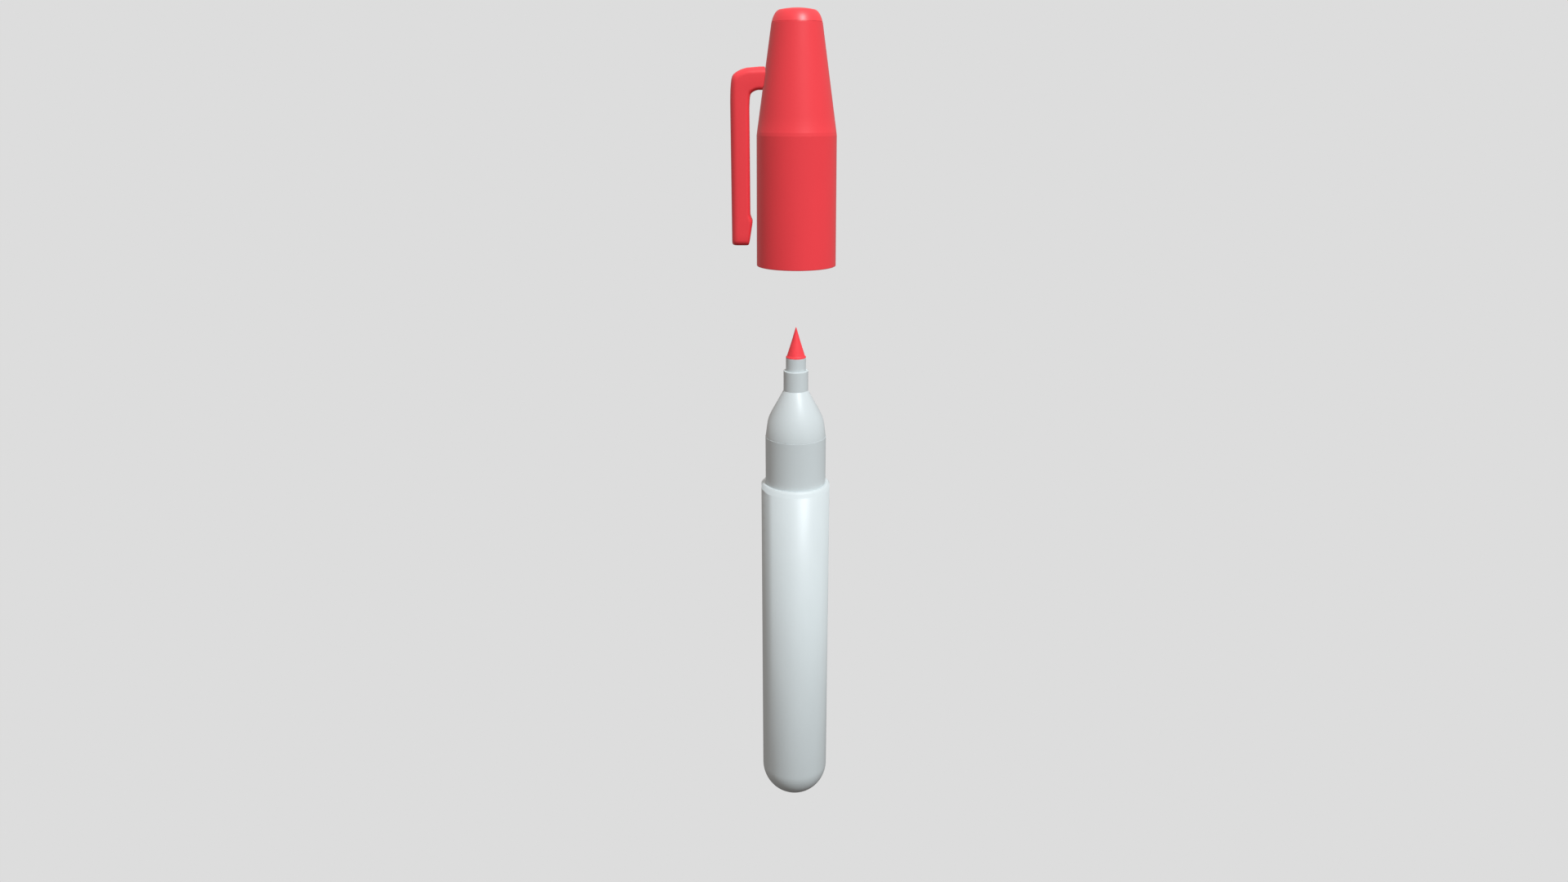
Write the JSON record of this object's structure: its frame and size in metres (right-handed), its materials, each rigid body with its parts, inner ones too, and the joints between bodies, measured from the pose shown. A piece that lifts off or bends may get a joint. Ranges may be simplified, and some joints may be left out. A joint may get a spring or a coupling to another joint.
{
  "type": "whiteboard marker",
  "caption": "Round-barrelled dry-wipe marker with a pointed nib and a pull-off clip cap, shown with the cap off and in line above the nib.",
  "frame": {"origin": "on the marker's axis inside the straight barrel, 40 mm above the lowest point of the closed end, where a hand or a holder grips it", "axes": "+Z along the marker's axis from the closed end to the nib and the cap; the cap's clip is on the -X side; the marker is mirror-symmetric about the XZ plane"},
  "size_m": [0.0213, 0.0162, 0.1754],
  "materials": {
    "barrel_plastic": "satin moulded polypropylene, very pale blue-white",
    "neck_plastic": "fine-grained moulded polypropylene, very pale blue-grey",
    "cap_plastic": "satin moulded polypropylene, clear red",
    "liner_plastic": "soft milky polyethylene",
    "nib_felt": "red ink-soaked bonded fibre",
    "ink_fibre": "bonded polyester fibre full of red ink",
    "reservoir_film": "thin clear film"
  },
  "bodies": {
    "marker": {"barrel": "barrel_plastic", "reservoir_core": "ink_fibre", "reservoir_sleeve": "reservoir_film", "neck_ring": "neck_plastic", "nose_cone": "barrel_plastic", "nib_collar": "neck_plastic", "nib_sleeve": "neck_plastic", "nib": "nib_felt"},
    "cap": {"cap_shell": "cap_plastic", "cap_liner": "liner_plastic", "cap_end_plug": "cap_plastic"},
    "clip_leaf": {"clip": "cap_plastic"}
  },
  "joints": [
    {"name": "cap_pull", "type": "slide", "parent": "marker", "child": "cap", "axis": [0, 0, 1], "range_m": [-0.0473, 0]},
    {"name": "clip_flex", "type": "hinge", "parent": "cap", "child": "clip_leaf", "pos_m": [-0.00535, 0, 0.1222], "axis": [0, 1, 0], "range_deg": [-1, 4.5], "stiffness_Nm_per_rad": 0.5}
  ]
}
